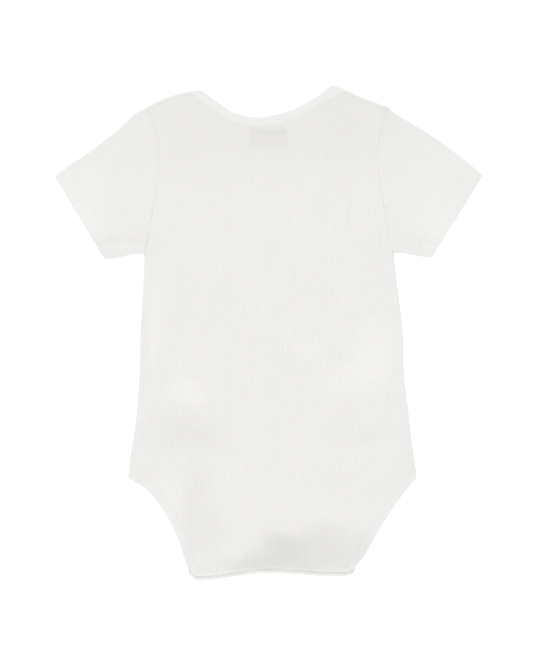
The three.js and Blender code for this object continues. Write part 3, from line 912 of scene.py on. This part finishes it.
def makeFront():
    rows = stations(-208, 204, 12, [*np.arange(-207, -184, 1.5), -165, -160, -155, -150])
    mesh = makeGrid(stations(-123, 123, 0.75), rows)
    outline = frontOutline()
    keepNear(mesh, outline, 12)
    neckSeam = aside(longer(frontNeckLine, 6), -front["neckBand"])
    for rise in (0, 0.15, 0.45, 0.8):
        cutAlong(mesh, flapEnd + (0, rise), tolerance=rise / 10)
    lines = [neckSeam]
    for name, side in sides.items():
        inward = side["inward"]
        lines.append(aside(frontLegs[name], inward * front["legBand"]))
        lines.append(aside(longer(side["sideSeam"], 3), inward * front["sideInset"]))
        lines.append(aside(longer(side["shoulder"], 3), inward * front["sideInset"]))
        lines.append(side["armhole"])
    for line in lines:
        cutAlong(mesh, line, 8)
    keepOnly(mesh, outline)
    keepOnly(mesh, aboveEnd)
    keepOnly(mesh, stripBeside(frontNeckLine, 8, -front["neckBand"]), inside=False)
    for name, side in sides.items():
        strip = stripBeside(frontLegs[name], -8 * side["inward"], front["legBand"] * side["inward"])
        keepOnly(mesh, strip, inside=False)
    area = flatArea(mesh)
    flat = placesOf(mesh)
    top = flapHeight(flat) + cloth["thickness"] + ribs(flat[:, 0])
    endDistance = distanceTo(flapEnd, flat)
    setHeights(mesh, rolled(top, endDistance, 0.8, flapHeight(flat) + 0.75))
    piece = finishPiece("front", mesh, ribKnit, "front_panel", cloth["thickness"])
    return area


# Sewing: short stitches in rows, each lying on the cloth

sewing = {
    "length": 2.1,
    "thickness": 0.34,
    "pitch": 2.7,
    "sides": 6,
    "shoulderIn": 3.4,
    "bandRow": 1.7,  # from the seam, on the band
    "hemRows": (12.2, 14.6),  # from the cuff
}


def stitchRow(mesh, line, heightAt):
    path, along = resampled(line, sewing["pitch"])
    for start, end in zip(path[:-1], path[1:]):
        middle = (start + end) / 2
        turn = math.atan2(*(end - start)[::-1])
        at = Matrix.Translation((*middle, float(heightAt(middle[None])[0]) + 0.02))
        thick = sewing["thickness"] / 2
        size = Matrix.Diagonal((sewing["length"] / 2, thick, thick, 1))
        bmesh.ops.create_uvsphere(
            mesh, u_segments=sewing["sides"], v_segments=4, radius=1,
            matrix=at @ Matrix.Rotation(turn, 4, "Z") @ size @ Matrix.Rotation(math.pi / 2, 4, "Y"),
        )


def finishStitches(name, mesh):
    mesh.loops.layers.uv.new("cloth")
    return finishPiece(name, mesh, thread, None)


def partOf(line, low, high):  # between two shares of its length
    path, along = resampled(line, 1.0)
    return path[(along >= along[-1] * low) & (along <= along[-1] * high)]


# Sleeves, one flattened tube each

sleeve = {
    "hem": 15,
    "hemRise": 0.4,
    "opening": (0.9, 22),
    "half": 54,
    "length": 99,
    "lowerInset": 0.9,
    # rows of the meshes at the hem, its stitches and the cuff, from the cuff
    "upperRows": [-15.8, -15.2, -14.6, -14, -12.6, -12, -11.4, -2, -1.2, -0.7, -0.35, -0.1],
    "lowerRows": [-15.5, -14.5],
    "ribShare": 0.42,  # its ribs lie across the light, so they are made lower
    "hemRibShare": 0.3,
    "seamRidge": (0.24, 2, 1.3),  # height, distance from the armhole, width
}


def sleeveFrame(side):
    top, bottom = side["topFold"][-1], side["underarm"][0]
    centre = (top + bottom) / 2
    across = (bottom - top) / np.hypot(*(bottom - top))
    outward = np.array([-across[1], across[0]]) * -side["inward"]
    ribSide = np.array([outward[1], -outward[0]])
    return centre, ribSide, outward


def makeSleeve(name):  # its hem is sewn with two rows
    side = sides[name]
    centre, ribSide, outward = sleeveFrame(side)
    inward = side["inward"]
    outline = np.vstack([side["topFold"], side["underarm"], side["armhole"][::-1]])
    cuff = np.array([side["topFold"][-1], side["underarm"][0]])
    armSeam = aside(longer(side["armhole"], 5), inward * 0.03)

    def fromCuff(places):
        return (places - centre) @ outward

    def across(places):
        return (places - centre) @ ribSide

    half, length = sleeve["half"], sleeve["length"]
    upper = makeGrid(stations(-half, half, 0.5), stations(-length, 5, 5, sleeve["upperRows"]))
    lower = makeGrid(stations(-half, half, 0.75), stations(-length, 5, 8, sleeve["lowerRows"]))
    for mesh in (upper, lower):
        flat = placesOf(mesh)
        movePlaces(mesh, centre + flat[:, :1] * ribSide + flat[:, 1:] * outward)
        cutAlong(mesh, armSeam)
        cutAlong(mesh, longer(cuff, 8))
    closedEdges(upper, [(side["topFold"], inward), (side["underarm"], inward)])
    for distance in (0.5, 1.1, 1.8, 2.6, 3.4):
        cutAlong(upper, aside(armSeam, -inward * distance), tolerance=0.12)
    inset = inward * sleeve["lowerInset"]
    lowerTop = aside(longer(side["topFold"], 8), inset)
    lowerArm = aside(longer(side["underarm"], 8), inset)
    cutAlong(lower, lowerTop)
    cutAlong(lower, lowerArm)
    keepOnly(upper, np.vstack([side["topFold"], side["underarm"], armSeam[::-1][4:-4]]))
    keepOnly(lower, np.vstack([lowerTop[1:-1], lowerArm[1:-1], armSeam[::-1][4:-4]]))
    area = flatArea(upper) + flatArea(lower)

    def heights(flat):
        edge = np.minimum(distanceTo(side["topFold"], flat), distanceTo(side["underarm"], flat))
        height, reach = sleeve["opening"]
        out = fromCuff(flat)
        top = upperInside(flat) + cloth["thickness"]
        top += height * ramp(1 + out / reach) * ramp(edge / reach)
        top += sleeve["hemRise"] * ramp((out + sleeve["hem"] + 0.4) / 0.9)
        inHem = out > -sleeve["hem"]
        top += ribs(across(flat)) * np.where(inHem, sleeve["hemRibShare"], sleeve["ribShare"])
        arm = distanceTo(side["armhole"], flat)
        ridge, ridgeAt, ridgeWidth = sleeve["seamRidge"]
        top += ridge * np.exp(-(((arm - ridgeAt) / ridgeWidth) ** 2)) - seamDip(arm, *back["armholeDip"])
        for row in sewing["hemRows"]:
            top -= 0.1 * np.exp(-(((out + row) / 0.7) ** 2))
        top = rolled(top, edge, cloth["edgeRound"], turnedLow)
        low = np.maximum(top - 0.9, np.minimum(top, 1.3))
        return rolled(top, np.maximum(-out, 0), 1.0, low)

    setHeights(upper, heights(placesOf(upper)))
    stitches = bmesh.new()
    for row in sewing["hemRows"]:
        line = resampled(longer(cuff, 12) - outward * row, 1.0)[0]
        line = line[insideOf(outline, line)]
        edge = np.minimum(distanceTo(side["topFold"], line), distanceTo(side["underarm"], line))
        stitchRow(stitches, line[edge > 1.6], heights)
    finishStitches("hem_stitches_" + name, stitches)
    flat = placesOf(lower)
    setHeights(lower, cloth["thickness"] + ribs(across(flat)))
    add(upper, lower)
    node = "sleeve_" + name
    piece = finishPiece(node + "_cloth", upper, upperKnit, node, cloth["thickness"])
    return area


# Bands, folded double over the raw edges

bands = {
    "neckWidth": 9,
    "legWidth": 8,
    "thickness": 1.6,  # from its inner face to its top
    "wall": 1.1,
    "frontThickness": 1.3,
    "frontWall": 0.9,
    "freeRound": (1.0, 1.0),  # radius and drop at the free edge
    "seamRound": (2.0, 0.40),
}


def bandGrid(line, side, width, past, near=0):
    path, along = resampled(longer(line, past), 1.0)
    within = [0, 0.06, 0.2, 0.45, 0.8, 1.4, 2.6, width / 2, width - 2.6]
    within += [width - 1.4, width - 0.8, width - 0.35, width - 0.1, width]
    mesh = makeGrid(along, np.unique([near, near / 2, *within]))
    flat = placesOf(mesh)
    normal = aside(path, 1) - path
    index = np.searchsorted(along, flat[:, 0] - 1e-3)
    movePlaces(mesh, path[index] + normal[index] * flat[:, 1:] * side)
    return mesh


def bandEdges(top, freeDistance, seamDistance, freeRound=bands["freeRound"]):
    radius, drop = freeRound
    top = rolled(top, freeDistance, radius, top - drop)
    radius, drop = bands["seamRound"]
    return top - drop * np.clip(1 - seamDistance / radius, 0, 1) ** 2


def makeNeckBandBack():
    width = bands["neckWidth"]
    mesh = bandGrid(neckBandLine, -1, width, 0.1, near=-3)
    closedEdges(mesh, [(left["shoulder"], 1), (right["shoulder"], -1)])
    for distance in (0, 0.12, 0.4, 0.8):
        cutAlong(mesh, aside(longer(neckLine, 4), -distance), tolerance=distance / 10)
    keepOnly(mesh, bodyOutline)
    area = flatArea(mesh)
    flat = placesOf(mesh)
    beside = insideOf(stripBeside(neckBandLine, 0, -20, 0.1), flat)
    seam = width - distanceTo(neckBandLine, flat) * beside
    top = bandEdges(upperInside(flat) + bands["thickness"], distanceTo(neckLine, flat), seam)
    setHeights(mesh, rolled(top, closedDistance(flat), cloth["edgeRound"], turnedLow))
    piece = finishPiece("neck_band_back", mesh, binding, "neck_binding_back", bands["wall"])


def makeLegBandBack(name, side):
    width, past, inward = bands["legWidth"], back["pastLeg"], side["inward"]
    line = side["leg"]
    legs = longer(line, past)
    mesh = bandGrid(line, inward, width, past)
    closedEdges(mesh, [(side["sideSeam"], inward)])
    for distance in (0, 0.15, 0.5, 1.1, 1.8, 2.6):
        cutAlong(mesh, aside(longer(foldLine, 3), distance), tolerance=distance / 16)
    keepOnly(mesh, bodyOutline)
    flat = placesOf(mesh)
    area = flatArea(mesh)
    top = upperInside(flat) + bands["thickness"]
    top = bandEdges(top, distanceTo(legs, flat), width - distanceTo(legs, flat))
    top = rolled(top, closedDistance(flat), cloth["edgeRound"], turnedLow)
    setHeights(mesh, rolled(top, distanceTo(foldLine, flat), back["foldRound"], back["foldLow"]))
    turned = bandGrid(line, inward, width, past)
    foldIn, foldUp = foldLine + (0, 1.2), foldLine + (0, back["flapLength"])
    for cut in (foldIn, foldUp):
        cutAlong(turned, longer(cut, 10))
    keepOnly(turned, bodyOutline)
    keepOnly(turned, np.vstack([longer(foldIn, 30), longer(foldUp, 30)[::-1]]))
    area += flatArea(turned)
    flat = placesOf(turned)
    top = np.full(len(flat), back["flapTop"])
    setHeights(turned, bandEdges(top, distanceTo(legs, flat), width - distanceTo(legs, flat)))
    add(mesh, turned)
    node = f"leg_binding_{name}_back"
    piece = finishPiece(f"leg_band_{name}_back", mesh, binding, node, bands["wall"])


def makeFrontBand(name, line, side, width, node, cuts, within):
    mesh = bandGrid(line, side, width, 8)
    for cut in cuts:
        cutAlong(mesh, cut)
    for outline in within:
        keepOnly(mesh, outline)
    area = flatArea(mesh)
    flat = placesOf(mesh)
    top = flapHeight(flat) + bands["frontThickness"]
    distance = distanceTo(longer(line, 8), flat)
    top = bandEdges(top, distance, width - distance, (0.7, 0.4))
    setHeights(mesh, rolled(top, distanceTo(flapEnd, flat), 0.8, flapHeight(flat) + 0.9))
    piece = finishPiece(name, mesh, frontBinding, node, bands["frontWall"])


def makeBands():
    makeNeckBandBack()
    outline = frontOutline()
    inset = front["sideInset"]
    cuts = [aside(longer(side["shoulder"], 3), side["inward"] * inset) for side in (left, right)]
    makeFrontBand("neck_band_front", frontNeckLine, -1, bands["neckWidth"],
                  "neck_binding_front", cuts, [outline])
    for name, side in sides.items():
        makeLegBandBack(name, side)
        cuts = [aside(longer(side["sideSeam"], 3), side["inward"] * inset), frontLegs[name], flapEnd]
        makeFrontBand(f"leg_band_{name}_front", frontLegs[name], side["inward"], bands["legWidth"],
                      f"leg_binding_{name}_front", cuts, [outline, aboveEnd])


def makeStitches():
    body = bmesh.new()
    for side in (left, right):
        line = aside(side["shoulder"], side["inward"] * sewing["shoulderIn"])
        stitchRow(body, partOf(line, 0.28, 0.99), lambda at: backHeights(at, at[:, 0]) + 0.05)
    finishStitches("shoulder_stitches", body)
    mesh = bmesh.new()

    def bandHeights(at):
        return upperInside(at) + bands["thickness"]

    rows = [aside(neckBandLine, -bands["neckWidth"] + sewing["bandRow"])]
    for side in (left, right):
        inset = side["inward"] * (bands["legWidth"] - sewing["bandRow"])
        rows.append(aside(longer(side["leg"], back["pastLeg"]), inset))
    for row in rows:
        row = resampled(row, 1.0)[0]
        stitchRow(mesh, row[insideOf(bodyOutline, row)][2:-3], bandHeights)
    finishStitches("band_stitches", mesh)


# The blank label under the back

label = {"width": 32, "height": 18, "top": 167.3, "thickness": 0.35, "gap": 0.25}


def makeLabel():
    half = label["width"] / 2
    mesh = makeGrid(stations(-half, half, 1), stations(label["top"] - label["height"], label["top"], 1))
    flat = placesOf(mesh)
    setHeights(mesh, upperInside(flat) - label["gap"])
    piece = finishPiece("label_tape", mesh, labelTape, "neck_label", label["thickness"])


def finishSnaps():
    for half in ("cap", "stud"):
        for number in (1, 2, 3):
            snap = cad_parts[f"snap_{half}_{number}"]
            snap = snap if hasattr(snap, "material_slots") else bpy.data.objects[snap]
            for slot in snap.material_slots:
                slot.material = enamel.material


makeBack()
makeFront()
for name in sides:
    makeSleeve(name)
makeBands()
makeStitches()
makeLabel()
finishSnaps()
print("garment made")
